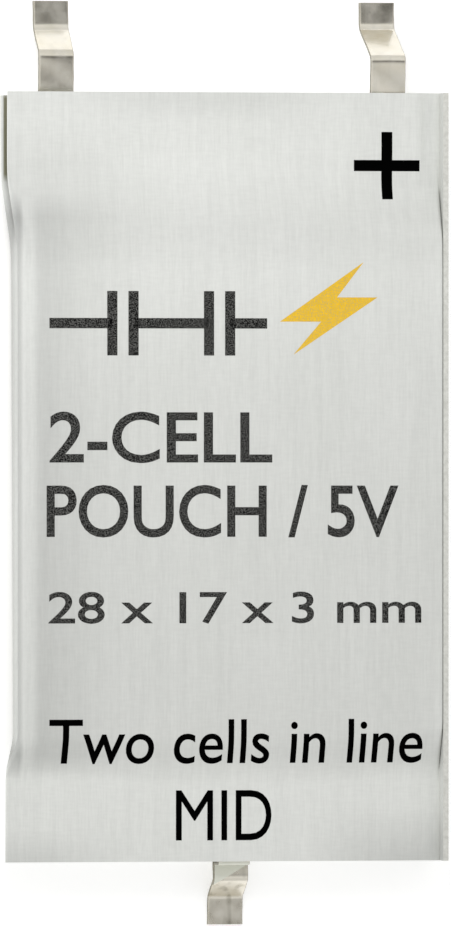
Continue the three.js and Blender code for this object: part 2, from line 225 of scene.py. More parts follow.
class Finish:
    """A procedural material under construction. Texture coordinates are in millimetres."""

    def __init__(self, name, **constants):
        self.material = bpy.data.materials.new(name)
        self.material.use_nodes = True
        self.tree = self.material.node_tree
        self.shader = self.tree.nodes["Principled BSDF"]
        for socket, value in constants.items():
            self.shader.inputs[socket.replace("_", " ")].default_value = value
        self.position = self.add("ShaderNodeTexCoord").outputs["Object"]

    def add(self, kind, inputs=(), **settings):
        node = self.tree.nodes.new(kind)
        for setting, value in settings.items():
            setattr(node, setting, value)
        for socket, value in dict(inputs).items():
            if isinstance(value, bpy.types.NodeSocket):
                self.tree.links.new(value, node.inputs[socket])
            else:
                node.inputs[socket].default_value = value
        return node

    def noise(self, scale, detail=2.0, stretch=(1, 1, 1), turn=0.0):
        """Noise with this many features per millimetre, before its stretch."""
        mapping = self.add("ShaderNodeMapping", {
            "Vector": self.position,
            "Rotation": (0, 0, turn),
            "Scale": [share / MM for share in stretch],
        })
        inputs = {"Vector": mapping.outputs[0], "Scale": scale, "Detail": detail}
        return self.add("ShaderNodeTexNoise", inputs).outputs["Fac"]

    def colours(self, value, stops):
        """A colour for each value, from (position, colour) stops."""
        node = self.add("ShaderNodeValToRGB", {"Fac": value})
        fill_ramp(node.color_ramp, stops)
        return node.outputs["Color"]

    def tones(self, value, low, high):
        """A colour between two tones."""
        return self.colours(value, [(0.3, low), (0.7, high)])

    def range(self, value, low, high, source=(0.3, 0.7)):
        inputs = {
            "Value": value,
            "From Min": source[0], "From Max": source[1], "To Min": low, "To Max": high,
        }
        return self.add("ShaderNodeMapRange", inputs).outputs["Result"]

    def blend(self, factor, first, second, kind="MIX"):
        inputs = {0: factor, 6: first, 7: second}
        return self.add("ShaderNodeMix", inputs, data_type="RGBA", blend_type=kind).outputs[2]

    def sum(self, first, second, weight):
        """first + second * weight"""
        node = self.add("ShaderNodeMath", {0: second, 1: weight, 2: first}, operation="MULTIPLY_ADD")
        return node.outputs[0]

    def product(self, *values):
        total = values[0]
        for value in values[1:]:
            total = self.add("ShaderNodeMath", {0: total, 1: value}, operation="MULTIPLY").outputs[0]
        return total

    def levels(self, value, stops):
        """A factor for each value in millimetres, from (value, factor) stops."""
        low, high = stops[0][0], stops[-1][0]
        share = self.range(value, 0.0, 1.0, (low * MM, high * MM))
        return self.colours(share, [((at - low) / (high - low), (factor,) * 3) for at, factor in stops])

    def zone(self, value, low, high, ease):
        """1 between two values in millimetres, falling to 0 outside them."""
        rising = self.range(value, 0.0, 1.0, ((low - ease) * MM, low * MM))
        falling = self.range(value, 1.0, 0.0, (high * MM, (high + ease) * MM))
        return self.product(rising, falling)

    def drive(self, socket, value):
        self.tree.links.new(value, self.shader.inputs[socket])

    def bump(self, height, depth):
        """Raises the surface by up to depth millimetres."""
        node = self.add("ShaderNodeBump", {"Height": height, "Distance": depth * MM})
        self.drive("Normal", node.outputs[0])


# ---------------------------------------- materials

# Painted shade on the laminate, as (millimetres, factor) stops: along the body in y, darker
# towards the bottom and over the slopes to the end seals, and in x beside the fold, where the pouch
# is filled, darker in the groove at the fold's edge and in the shallow valley inside it.
PAINTED_SHADE_ALONG = [
    (-14.25, 0.97), (-11.3, 1.0), (-10.3, 0.88), (-3.0, 0.88), (3.0, 0.90), (7.5, 0.95),
    (9.6, 0.88), (12.0, 0.98), (14.25, 0.96),
]
PAINTED_SHADE_BY_FOLD = [
    (-7.97, 0.66), (-7.91, 0.80), (-7.84, 1.0), (-7.6, 1.0), (-7.33, 0.88), (-7.1, 0.84),
    (-6.8, 0.86), (-5.2, 0.96), (-3.0, 1.0),
]
FILLED_ZONE = (-10.3, 9.6, 0.9)         # in y: low, high and ease
# Painted shade near the ends and corners, as low, high and ease in x and in y, and a factor.
PAINTED_SHADE_PATCHES = [
    ((6.4, 9.0, 3.4), (-15.0, -14.2, 2.0), 0.80),
    ((-9.0, -7.0, 3.0), (-15.0, -14.2, 1.2), 0.86),
    ((-9.0, -6.3, 3.4), (9.4, 11.6, 1.6), 0.93),
    ((-3.0, 1.0, 3.5), (13.9, 15.0, 0.8), 0.93),
]
# Painted shadow on top of the lower pouch's flat seal, beneath the upper pouch's flat seal near its
# left edge, as low, high and ease in x, y and z.
PAINTED_SHADOW_UNDER_EDGE = [(-8.31, -7.6, 0.05), (11.2, 14.0, 0.3), (1.08, 1.4, 0.06)]
PAINTED_SHADOW_UNDER_EDGE_COLOUR = (0.27, 0.26, 0.18, 1)
CREVICE_SHADE_REACH = 0.7                     # how far off a neighbour still darkens the film with painted shade
CREVICE_SHADE_COLOUR = (0.20, 0.195, 0.13, 1)


def laminate_finish():
    finish = Finish("satin_laminate", Metallic=0.34, IOR=1.45)
    grain = finish.noise(15, 3, (1, 0.10, 0.10))
    fibres = finish.noise(6, 2, (1, 0.04, 0.04))
    weave = finish.noise(10, 2, (0.2, 1, 1))
    mottle = finish.noise(0.35, 3, (1, 0.5, 1))
    tone = finish.sum(grain, fibres, 0.8)
    base = finish.tones(mottle, (0.800, 0.812, 0.785), (0.825, 0.835, 0.812))
    pattern = finish.sum(tone, weave, 0.6)
    base = finish.blend(1.0, base, finish.range(pattern, 0.955, 1.045, (0.9, 1.5)), "MULTIPLY")
    x, y, z = finish.add("ShaderNodeSeparateXYZ", {"Vector": finish.position}).outputs[:]
    # Painted shade along the body, and beside the fold where the pouch is filled.
    base = finish.blend(1.0, base, finish.levels(y, PAINTED_SHADE_ALONG), "MULTIPLY")
    filled = finish.zone(y, *FILLED_ZONE)
    base = finish.blend(filled, base, finish.levels(x, PAINTED_SHADE_BY_FOLD), "MULTIPLY")
    # Painted shade in patches near the ends and corners.
    for x_zone, y_zone, factor in PAINTED_SHADE_PATCHES:
        shade_patch = finish.product(finish.zone(x, *x_zone), finish.zone(y, *y_zone))
        base = finish.blend(shade_patch, base, (factor, factor, factor, 1), "MULTIPLY")
    # Painted shade: ambient occlusion darkens the colour in crevices and gaps, more on the left.
    occlusion_shade = finish.add(
        "ShaderNodeAmbientOcclusion", {"Distance": CREVICE_SHADE_REACH * MM}, samples=8)
    depth = finish.range(x, 0.1, 1.0, (4 * MM, -5 * MM))
    shade = finish.range(occlusion_shade.outputs["AO"], depth, 0.0, (0.25, 0.75))
    base = finish.blend(shade, base, CREVICE_SHADE_COLOUR)
    # Painted shadow on the lower pouch's seal beneath the upper pouch's flat seal.
    zones = [finish.zone(value, *zone) for value, zone in zip((x, y, z), PAINTED_SHADOW_UNDER_EDGE)]
    finish.drive("Base Color", finish.blend(finish.product(*zones), base, PAINTED_SHADOW_UNDER_EDGE_COLOUR))
    finish.drive("Roughness", finish.range(tone, 0.42, 0.50, (0.6, 1.2)))
    finish.bump(tone, 0.0010)
    return finish.material


def laminate_edge_finish():
    finish = Finish("laminate_cut_edge", Metallic=0.2)
    layers = finish.noise(6, 2)
    finish.drive("Base Color", finish.tones(layers, (0.60, 0.60, 0.56), (0.74, 0.74, 0.70)))
    finish.drive("Roughness", finish.range(finish.noise(9), 0.45, 0.6))
    return finish.material


SCUFF_COLOUR = (0.45, 0.445, 0.41, 1)


def nickel_finish(name, roughness, scuffing):
    """Drawn nickel plate, with slanting scuffs from 0, none, to 1, dark."""
    finish = Finish(name, Metallic=1.0)
    lines = finish.noise(14, 2, (1, 0.04, 0.04))
    scratches = finish.noise(7, 3, (1, 0.06, 1), turn=0.6)
    stains = finish.noise(1.4, 4)
    dents = finish.noise(1.1, 2)
    base = finish.tones(stains, (0.78, 0.735, 0.63), (0.86, 0.825, 0.745))
    slant = finish.noise(3.2, 1, (1, 0.2, 1), turn=0.7)
    scuffs = finish.range(slant, 0.0, scuffing, (0.5, 0.72))
    base = finish.blend(scuffs, base, SCUFF_COLOUR, "MULTIPLY")
    finish.drive("Base Color", base)
    finish.drive("Roughness", finish.range(stains, roughness, roughness + 0.1, (0.35, 0.65)))
    surface = finish.sum(finish.sum(lines, scratches, 0.5), dents, 9.0)
    finish.bump(surface, 0.0005)
    return finish.material


def sheared_edge_finish():
    finish = Finish("sheared_nickel_edge", Metallic=0.8)
    burr = finish.noise(9, 2)
    finish.drive("Base Color", finish.tones(burr, (0.26, 0.24, 0.19), (0.42, 0.40, 0.33)))
    finish.drive("Roughness", finish.range(finish.noise(12), 0.4, 0.55))
    return finish.material


def aluminium_tab_finish():
    finish = Finish("rolled_aluminium_tab", Metallic=0.25)
    lines = finish.noise(18, 3, (1, 0.05, 0.05))
    patches = finish.noise(1.8, 3)
    finish.drive("Base Color", finish.tones(patches, (0.74, 0.75, 0.66), (0.82, 0.825, 0.74)))
    finish.drive("Roughness", finish.range(lines, 0.40, 0.52))
    finish.bump(lines, 0.0008)
    return finish.material


def foil_finish():
    finish = Finish("bright_foil", Metallic=1.0)
    lines = finish.noise(12, 2, (1, 0.03, 1))
    finish.drive("Base Color", finish.tones(lines, (0.78, 0.79, 0.80), (0.86, 0.87, 0.88)))
    finish.drive("Roughness", finish.range(lines, 0.22, 0.32))
    return finish.material


def matt_finish(name, low, high, scale, roughness, depth):
    """A matt finish between two tones, with a grain of this many features per millimetre."""
    finish = Finish(name)
    grain = finish.noise(scale, 4)
    finish.drive("Base Color", finish.tones(grain, low, high))
    finish.drive("Roughness", finish.range(grain, roughness - 0.06, roughness + 0.06))
    finish.bump(grain, depth)
    return finish.material


def sealing_film_finish():
    finish = Finish("pale_sealing_film", Subsurface_Weight=0.3, Subsurface_Scale=0.1 * MM)
    haze = finish.noise(4, 3)
    finish.drive("Base Color", finish.tones(haze, (0.70, 0.67, 0.55), (0.82, 0.79, 0.68)))
    finish.drive("Roughness", finish.range(haze, 0.3, 0.45))
    finish.bump(haze, 0.002)
    return finish.material


def ink_finish(name, solid, worn=None):
    """Printing ink. Where it is worn, the rough foil shows through in fine pinholes."""
    finish = Finish(name, Specular_IOR_Level=0.0)
    film = finish.noise(6, 2)
    colour = finish.tones(film, solid, [channel * 1.15 for channel in solid])
    if worn:
        pinholes = finish.range(finish.noise(24, 2), 0.0, 1.0, (0.42, 0.62))
        colour = finish.blend(pinholes, colour, (*worn, 1))
    finish.drive("Base Color", colour)
    finish.drive("Roughness", finish.range(film, 0.7, 0.85))
    return finish.material


LAMINATE = laminate_finish()
LAMINATE_EDGE = laminate_edge_finish()
NICKEL = nickel_finish("drawn_nickel", 0.16, 0.1)
WORN_NICKEL = nickel_finish("worn_nickel", 0.25, 0.6)
SHEARED_EDGE = sheared_edge_finish()
ALUMINIUM_TAB = aluminium_tab_finish()
FOIL = foil_finish()
CARBON = matt_finish("porous_carbon", (0.012, 0.012, 0.013), (0.035, 0.035, 0.037), 30, 0.92, 0.004)
SEPARATOR = matt_finish("separator_paper", (0.80, 0.79, 0.75), (0.9, 0.89, 0.86), 18, 0.85, 0.003)
TAPE = matt_finish("bonding_tape", (0.24, 0.23, 0.17), (0.32, 0.31, 0.24), 8, 0.6, 0.003)
SEALING_FILM = sealing_film_finish()
BLACK_INK = ink_finish("solid_black_ink", (0.001, 0.001, 0.001))
SPECKLED_INK = ink_finish("speckled_black_ink", (0.001, 0.001, 0.001), (0.12, 0.12, 0.115))
AMBER_INK = ink_finish("speckled_amber_ink", (0.78, 0.485, 0.02), (0.62, 0.43, 0.12))

CAD_FINISHES = {
    "laminate": LAMINATE, "nickel": NICKEL, "aluminium_tab": ALUMINIUM_TAB,
    "aluminium_foil": FOIL, "carbon": CARBON, "separator": SEPARATOR,
    "sealing_film": SEALING_FILM, "bonding_tape": TAPE,
}
for subpart in frame["record"]["subparts"]:
    node = frame["nodes"][subpart["node"]]
    node.data.materials.clear()
    node.data.materials.append(CAD_FINISHES[subpart["material_slot"]])


# ---------------------------------------- pouches

# A cross-section is a spline. These are the numbers of its control points and of the mesh
# columns on each stretch.
WALL_CONTROLS = 11              # of the side seal and the right wall, on either side
FACE_CONTROLS = 15
FOLD_CONTROLS = 9
SPLINE_STEPS = 10
WALL_COLUMNS = 56
OUTER_COLUMNS = 124
FOLD_COLUMNS = 44
INNER_COLUMNS = 72
FOLD_SHRINK = (2 + math.cos(math.pi / (FOLD_CONTROLS - 1))) / 3    # of a spline inside its controls

FACE_START = 7.45               # x of a face's first control
FACE_TO_FOLD = 0.3              # from its last control to the middle of the fold
FOLD_FULLNESS_X = -7.3          # the fold is as thick as the pouch would be here
FLANGE_SHARE = 0.55             # of the side seal's height, where its middle control is
CREASE_RADIUS = 0.05
WALL_RADIUS = 0.11
SEAL_RADIUS = 0.09
FLANGE_RADIUS = 0.12

# Rows along the pouch, closer together over the slopes and end seals.
END_ROWS = 66
MIDDLE_ROWS = 60
MIDDLE_FROM, MIDDLE_TO = -8.8, 8.4

# The ridge over a terminal. Each reach is from the edge of the seal strips.
RIDGE_RISE = METAL / 2 + STRIP + 0.01
RIDGE_FROM, RIDGE_RUN = 10.2, 2.2       # it rises along y from here, over this length
PART_REACH, PART_EASE = 0.3, 0.26
OUTWARD_REACH, OUTWARD_EASE = 0.5, 0.46
INWARD_REACH, INWARD_EASE = 1.6, 1.55

# Soft shapes of the printed face: it falls off to its sides and ends, and along the fold it has
# a raised bead and a shallow valley.
SIDE_FALL, END_FALL = 0.012, 0.015
BEAD_X, BEAD_WIDTH, BEAD_HEIGHT = -7.62, 0.36, 0.035
VALLEY_X, VALLEY_WIDTH, VALLEY_DEPTH = -6.85, 0.6, 0.045
RELIEF_ZONE = (-10.2, 9.9, 2.0)         # in y: low, high and ease
RELIEF_END_X, RELIEF_EASE = 7.95, 0.3   # the relief dies out before the right wall
SEAL_RELIEF = 0.25                      # the share of it that is left in the flat seals
UNDERSIDE_GAP = 0.014                   # room for the underside's relief

# Where the pouch starts to thin towards each end seal, and where it is flat, from left to right.
SLOPE_X = [-8.4, -7.6, -6.2, -3.0, 0.3, 3.6, 7.4, 8.4]
TOP_FULL = [8.6, 8.65, 9.0, 9.35, 9.45, 9.35, 9.0, 8.8]
TOP_FLAT = [11.0, 11.1, 11.4, 11.7, 11.7, 11.4, 10.75, 10.6]
BOTTOM_FULL = [-9.75, -9.7, -9.6, -9.7, -9.8, -9.7, -9.4, -9.3]
BOTTOM_FLAT = [-10.95, -10.9, -10.95, -11.35, -11.55, -11.35, -10.85, -10.7]
LINE_SPREAD = 1.5               # how widely line_at blends them
FOLD_TOP = (8.5, 11.0)          # where the fold starts to widen, and where it is flat
FOLD_BOTTOM = (-9.7, -10.9)


def line_at(x, values):
    """A smooth line through values given at SLOPE_X."""
    nearness = bell(np.asarray(x)[..., None] - np.array(SLOPE_X), LINE_SPREAD)
    return (nearness * np.array(values)).sum(-1) / nearness.sum(-1)


def swell(x, y):
    """0 in the flat end seals, 1 over the electrode stack."""
    top_full, top_flat = line_at(x, TOP_FULL), line_at(x, TOP_FLAT)
    bottom_full, bottom_flat = line_at(x, BOTTOM_FULL), line_at(x, BOTTOM_FLAT)
    top = ramp((y - top_full) / (top_flat - top_full))
    bottom = ramp((bottom_full - y) / (bottom_full - bottom_flat))
    return 1 - np.maximum(top, bottom)


def fold_tuck(y):
    """How far the fold has drawn in from the flat seals' edge, as a share."""
    top = ramp((y - FOLD_TOP[0]) / (FOLD_TOP[1] - FOLD_TOP[0]))
    bottom = ramp((y - FOLD_BOTTOM[0]) / (FOLD_BOTTOM[1] - FOLD_BOTTOM[0]))
    return 1 - np.maximum(top, bottom)


def corner(before, at, after, radius):
    """Three control points for a rounded corner."""
    before, at, after = (np.array(point, float) for point in (before, at, after))
    controls = [at]
    for neighbour, where in ((before, 0), (after, 2)):
        gap = np.linalg.norm(neighbour - at)
        reach = min(radius, 0.45 * gap) / max(gap, 1e-9)
        controls.insert(where, lerp(at, neighbour, reach))
    return controls


def pouch_section(cell, y):
    """Controls of the film's middle in one cross-section, as x and height over the seal. The
    height grows away from the other cell. The path starts at the cut edge of the folded side
    seal, goes over the outer face, round the fold on the left and back over the inner face."""
    half = FILM / 2 + TOUCH_GAP
    inner_leg, outer_leg = FLANGE_INNER_X + FILM / 2, FLANGE_OUTER_X - FILM / 2
    wall = WALL_X - FILM / 2
    outer = cell["outer"] - FILM / 2
    inner = cell["inner"] - FILM / 2
    outer_wall = lerp(half, outer, swell(wall, y))
    inner_wall = lerp(half, inner, swell(wall, y))
    at_fold = swell(FOLD_FULLNESS_X, y)
    radius = lerp(half, (outer + inner) / 2, at_fold)
    middle = lerp(0, (outer - inner) / 2, at_fold)
    share = (y / HALF_LENGTH + 1) / 2
    left = lerp(lerp(*cell["flat_left"], share), lerp(*cell["full_left"], share), fold_tuck(y))
    centre_x = left + FILM / 2 + radius
    face_x = np.linspace(FACE_START, centre_x + FACE_TO_FOLD, FACE_CONTROLS)
    face_swell = swell(face_x, y)
    angles = np.linspace(math.pi / 2, 1.5 * math.pi, FOLD_CONTROLS)
    fold = np.stack([centre_x + radius / FOLD_SHRINK * np.cos(angles),
                     middle + radius / FOLD_SHRINK * np.sin(angles)], axis=1)
    return np.array([
        (inner_leg, FLANGE_HEIGHT),
        (inner_leg, FLANGE_HEIGHT * FLANGE_SHARE),
        *corner((inner_leg, FLANGE_HEIGHT), (inner_leg, half), (wall, half), CREASE_RADIUS),
        *corner((inner_leg, half), (wall, half), (wall, outer_wall), CREASE_RADIUS),
        *corner((wall, half), (wall, outer_wall), (FACE_START, outer_wall), WALL_RADIUS),
        *np.stack([face_x, lerp(half, outer, face_swell)], axis=1),
        *fold,
        *np.stack([face_x, -lerp(half, inner, face_swell)], axis=1)[::-1],
        *corner((FACE_START, -inner_wall), (wall, -inner_wall), (wall, -half), WALL_RADIUS),
        *corner((wall, -inner_wall), (wall, -half), (outer_leg, -half), SEAL_RADIUS),
        *corner((wall, -half), (outer_leg, -half), (outer_leg, FLANGE_HEIGHT), FLANGE_RADIUS),
        (outer_leg, FLANGE_HEIGHT * FLANGE_SHARE),
        (outer_leg, FLANGE_HEIGHT),
    ])


def crowded_middle(count, power=1.4):
    """Shares from 0 to 1 that lie closest together in the middle."""
    t = np.linspace(-1, 1, count)
    return 0.5 + 0.5 * np.sign(t) * np.abs(t) ** power


def section_columns(detail):
    """The stretches of a cross-section between two controls, with the shares to sample."""
    face = WALL_CONTROLS
    fold = face + FACE_CONTROLS - 1
    back = fold + FOLD_CONTROLS + 1
    end = back + FACE_CONTROLS - 1
    last = end + WALL_CONTROLS
    return [
        (0, face, np.linspace(0, 1, round(WALL_COLUMNS * detail), endpoint=False)),
        (face, fold, np.linspace(0, 1, round(OUTER_COLUMNS * detail), endpoint=False)),
        (fold, back, crowded_middle(round(FOLD_COLUMNS * detail))[:-1]),
        (back, end, np.linspace(0, 1, round(INNER_COLUMNS * detail), endpoint=False)),
        (end, last, np.linspace(0, 1, round(WALL_COLUMNS * detail))),
    ]


def tab_ridge(x, y, tabs, outer_side):
    """How far the layers of the end seals move for the terminals and their strips. They part
    round the strips. Beside them they lie together again and sink gently to the flat seal."""
    rise = 0
    for centre, end in tabs:
        distance = np.abs(x - centre)
        outward = (x - centre) * np.sign(centre)
        apart = smooth((STRIP_HALF + PART_REACH - distance) / PART_EASE)
        gentle = smooth((STRIP_HALF + OUTWARD_REACH - outward) / OUTWARD_EASE)
        gentle = gentle * smooth((STRIP_HALF + INWARD_REACH + outward) / INWARD_EASE)
        along = RIDGE_RISE * smooth((y * end - RIDGE_FROM) / RIDGE_RUN)
        rise = rise + along * np.where(outer_side, gentle, gentle * (1 - apart) - apart)
    return rise


def outer_relief(x, y):
    """Soft dents of the printed face, in millimetres."""
    crown = -SIDE_FALL * (x / 8) ** 2 - END_FALL * (y / 10) ** 2
    ripples = (0.0035 * np.sin(0.9 * x + 0.35 * y + 0.6) + 0.003 * np.sin(0.55 * y - 0.7 * x + 2.1)
               + 0.002 * np.sin(1.7 * x - 0.45 * y))
    along = between(y, *RELIEF_ZONE)
    bead = BEAD_HEIGHT * bell(x - BEAD_X, BEAD_WIDTH) * along
    uneven = 0.75 + 0.25 * np.sin(0.45 * y + 0.2)
    valley = -VALLEY_DEPTH * bell(x - VALLEY_X, VALLEY_WIDTH) * along * uneven
    return crown + ripples + bead + valley


def inner_relief(x, y):
    return 0.003 * np.sin(0.8 * x - 0.5 * y) + 0.003 * np.sin(0.6 * x + 0.9 * y + 1.0)


def pouch_rows(top_end, detail):
    ends = round(END_ROWS * detail)
    middle = round(MIDDLE_ROWS * detail)
    return np.concatenate([
        np.linspace(-HALF_LENGTH, MIDDLE_FROM, ends, endpoint=False),
        np.linspace(MIDDLE_FROM, MIDDLE_TO, middle, endpoint=False),
        np.linspace(MIDDLE_TO, top_end, ends),
    ])


def build_pouch(name, cell):
    """One pouch: a sheet through its cross-sections, whose level stretches then take the ridges
    over the terminals and the relief of the faces."""
    rows = pouch_rows(cell["top_end"], cell["detail"])
    stretches = section_columns(cell["detail"])
    grid = []
    for y in rows:
        curve = spline(pouch_section(cell, y), SPLINE_STEPS)
        grid.append(np.vstack([
            resample(curve[first * SPLINE_STEPS:last * SPLINE_STEPS + 1], shares)
            for first, last, shares in stretches]))
    grid = np.array(grid)
    x, height = grid[:, :, 0], grid[:, :, 1]
    y = np.broadcast_to(rows[:, None], x.shape)
    counts = [len(shares) for _, _, shares in stretches]
    fold_tip = counts[0] + counts[1] + counts[2] // 2
    outer_side = (np.arange(sum(counts)) < fold_tip)[None, :]
    ridge = tab_ridge(x, y, cell["tabs"], outer_side)
    across, upward = np.gradient(x, axis=1), np.gradient(height, axis=1)
    level = np.abs(across) / np.hypot(across, upward)
    level = level ** 3 * smooth((RELIEF_END_X - x) / RELIEF_EASE)
    relief = np.where(outer_side, cell["outer_relief"](x, y), inner_relief(x, y))
    relief = relief * lerp(SEAL_RELIEF, 1, swell(x, y))
    height = height + level * (ridge + relief)
    points = np.stack([x, y, cell["seal"] + cell["fold_side"] * height], axis=2)
    if cell["fold_side"] > 0:
        points = points[:, ::-1]
    pouch = sheet_solid(name, points, FILM, LAMINATE, LAMINATE_EDGE)
    return place(pouch, "laminate", name.replace("_folded", "_pouch"))


# Heights of each cell's faces over its seal, x of its left edge at the bottom and top end, and
# its terminals as x and the sign of their end.
CELLS = {
    "upper_cell_folded_film": {
        "seal": UPPER_SEAL,
        "fold_side": 1,         # the side seal is folded up
        "outer": upper_high[2] - UPPER_SEAL,
        "inner": UPPER_SEAL - upper_low[2],
        "top_end": HALF_LENGTH,
        "flat_left": (-8.43, -8.36),
        "full_left": (-7.97, -7.97),
        "tabs": [(POSITIVE_X, 1), (MIDDLE_X, -1)],
        "outer_relief": outer_relief,
        "detail": 1.0,
    },
    "lower_cell_folded_film": {
        "seal": LOWER_SEAL,
        "fold_side": -1,        # the side seal is folded down
        "outer": LOWER_SEAL - lower_low[2] - UNDERSIDE_GAP,
        "inner": lower_high[2] - LOWER_SEAL,
        "top_end": LOWER_TOP_END,
        "flat_left": (-8.2, -8.45),
        "full_left": (-7.86, -7.98),
        "tabs": [(NEGATIVE_X, 1), (MIDDLE_X, -1)],
        "outer_relief": inner_relief,
        "detail": 0.75,
    },
}
pouches = {name: build_pouch(name, cell) for name, cell in CELLS.items()}


# ---------------------------------------- terminals

STRIP_EDGE_RADIUS = 0.02
PATH_SPACING = 0.05
BEND_STEPS = 10


def bent_path(corners, radii):
    """A path in y and z whose corners are rounded, with evenly spaced points between them."""
    corners = [np.array(point, float) for point in corners]
    path = [corners[0]]
    for i, radius in enumerate(radii, start=1):
        back, ahead = corners[i - 1] - corners[i], corners[i + 1] - corners[i]
        back, ahead = back / np.linalg.norm(back), ahead / np.linalg.norm(ahead)
        half_angle = math.acos(float(np.clip(back @ ahead, -1, 1))) / 2
        inward = (back + ahead) / np.linalg.norm(back + ahead)
        centre = corners[i] + inward * radius / math.sin(half_angle)
        start = corners[i] + back * radius / math.tan(half_angle) - centre
        end = corners[i] + ahead * radius / math.tan(half_angle) - centre
        turn = math.atan2(start[0] * end[1] - start[1] * end[0], start @ end)
        straight = centre + start
        count = max(2, round(np.linalg.norm(straight - path[-1]) / PATH_SPACING))
        path += [lerp(path[-1], straight, t) for t in np.linspace(0, 1, count)[1:-1]]
        for angle in np.linspace(0, turn, BEND_STEPS):
            c, s = math.cos(angle), math.sin(angle)
            turned = [c * start[0] - s * start[1], s * start[0] + c * start[1]]
            path.append(centre + np.array(turned))
    count = max(2, round(np.linalg.norm(corners[-1] - path[-1]) / PATH_SPACING))
    path += [lerp(path[-1], corners[-1], t) for t in np.linspace(0, 1, count)[1:]]
    return np.array(path)


def soften(path, spacing=0.03, reach=0.07):
    """An evenly spaced copy of a path whose bends start and end gradually."""
    length = np.linalg.norm(np.diff(path, axis=0), axis=1).sum()
    even = resample(path, np.linspace(0, 1, round(length / spacing)))
    distance = (np.arange(len(even))[:, None] - np.arange(len(even))) * spacing
    distance_to_end = np.minimum(np.arange(len(even)), np.arange(len(even))[::-1]) * spacing
    width = np.minimum(reach, 0.3 * distance_to_end) + 1e-6
    weights = bell(distance, width[:, None])
    return weights @ even / weights.sum(axis=1, keepdims=True)


def strip_ring(width, thickness, across=18, edge=5):
    """Outline of a strip's cross-section, as (sideways, up) pairs, with rounded long edges."""
    half, rise = width / 2 - STRIP_EDGE_RADIUS, thickness / 2 - STRIP_EDGE_RADIUS
    corners = ((half, rise, 0), (-half, rise, 90), (-half, -rise, 180), (half, -rise, 270))
    ring = []
    for centre_x, centre_z, start in corners:
        for angle in np.linspace(math.radians(start), math.radians(start + 90), edge):
            ring.append((centre_x + STRIP_EDGE_RADIUS * math.cos(angle),
                         centre_z + STRIP_EDGE_RADIUS * math.sin(angle)))
        if start in (0, 180):
            direction = -1 if start == 0 else 1
            for t in np.linspace(-1, 1, across)[1:-1]:
                ring.append((direction * half * t, math.copysign(thickness / 2, centre_z)))
    return np.array(ring)


def build_strip(name, path, centre_x, width, material, dents=None):
    """A bent strip of sheet metal: its rounded cross-section swept along a path in y and z."""
    ring = strip_ring(width, METAL)
    face_x = (ring[:, 0] + np.roll(ring[:, 0], -1)) / 2
    on_edge = (np.abs(face_x) > width / 2 - STRIP_EDGE_RADIUS).astype(int).tolist()
    tangents = np.gradient(path, axis=0)
    tangents /= np.linalg.norm(tangents, axis=1, keepdims=True)
    normals = np.stack([-tangents[:, 1], tangents[:, 0]], axis=1)
    if normals[0, 1] < 0:
        normals = -normals
    rings = []
    for point, normal in zip(path, normals):
        sideways, up = ring[:, 0], ring[:, 1]
        if dents is not None:
            lift, shift = dents(sideways, point[0])
            up, sideways = up + lift, sideways + shift
        rings.append(np.stack([
            centre_x + sideways, point[0] + up * normal[0], point[1] + up * normal[1],
        ], axis=1))
    points = np.concatenate(rings)
    size = len(ring)
    faces = []
    for r in range(len(path) - 1):
        for i in range(size):
            j = (i + 1) % size
            faces.append([r * size + i, r * size + j, (r + 1) * size + j, (r + 1) * size + i])
    faces.append(list(range(size))[::-1])
    faces.append([(len(path) - 1) * size + i for i in range(size)])
    if path[-1, 0] > path[0, 0]:
        faces = [face[::-1] for face in faces]
    face_materials = on_edge * (len(path) - 1) + [1, 1]
    piece = add_mesh(name, points, faces, [material, SHEARED_EDGE], face_materials)
    last = (len(path) - 1) * size
    around = [(i, (i + 1) % size) for i in range(size)]
    mark_sharp(piece.data, around + [(last + i, last + j) for i, j in around])
    return piece


EXIT_RADIUS = 0.4               # of the slight bend where a terminal leaves the pouch
TAB_INNER = 10.35               # |y| of a terminal's end inside the pouch
# A terminal leaves the pouch at the seal's height, rises a little to where its level part ends,
# and slopes down to where its foot starts. The radii are those of the two bends there.
GULL_WINGS = {
    "negative": {
        "x": NEGATIVE_X, "seal": LOWER_SEAL, "rise": 0.12, "finish": NICKEL,
        "flat_end": 15.7, "foot_start": 16.62, "radii": (0.3, 0.36),
    },
    "positive": {
        "x": POSITIVE_X, "seal": UPPER_SEAL, "rise": 0.18, "finish": NICKEL,
        "flat_end": 15.58, "foot_start": 16.66, "radii": (0.25, 0.36),
    },
    "middle": {
        "x": MIDDLE_X, "seal": LOWER_SEAL, "rise": 0.06, "finish": WORN_NICKEL,
        "flat_end": -14.92, "foot_start": -15.58, "radii": (0.2, 0.12),
    },
}


def tab_dents(seed):
    """Slight twist, waviness and curl of one terminal, and unevenness of its long edges."""
    rng = np.random.default_rng(seed)
    phases = rng.uniform(0, 2 * math.pi, 4)

    def dents(sideways, y):
        twist = 0.004 * np.sin(2.1 * y + phases[0]) * (sideways / TAB_WIDTH)
        wave = 0.003 * np.sin(5.3 * y + 3 * sideways + phases[1])
        curl = -0.006 * (2 * sideways / TAB_WIDTH) ** 2
        sway = 0.006 * np.sin(3.1 * y + phases[2])
        nibble = 0.003 * np.sign(sideways) * np.sin(9 * y + phases[3])
        return twist + wave + curl, sway + nibble

    return dents


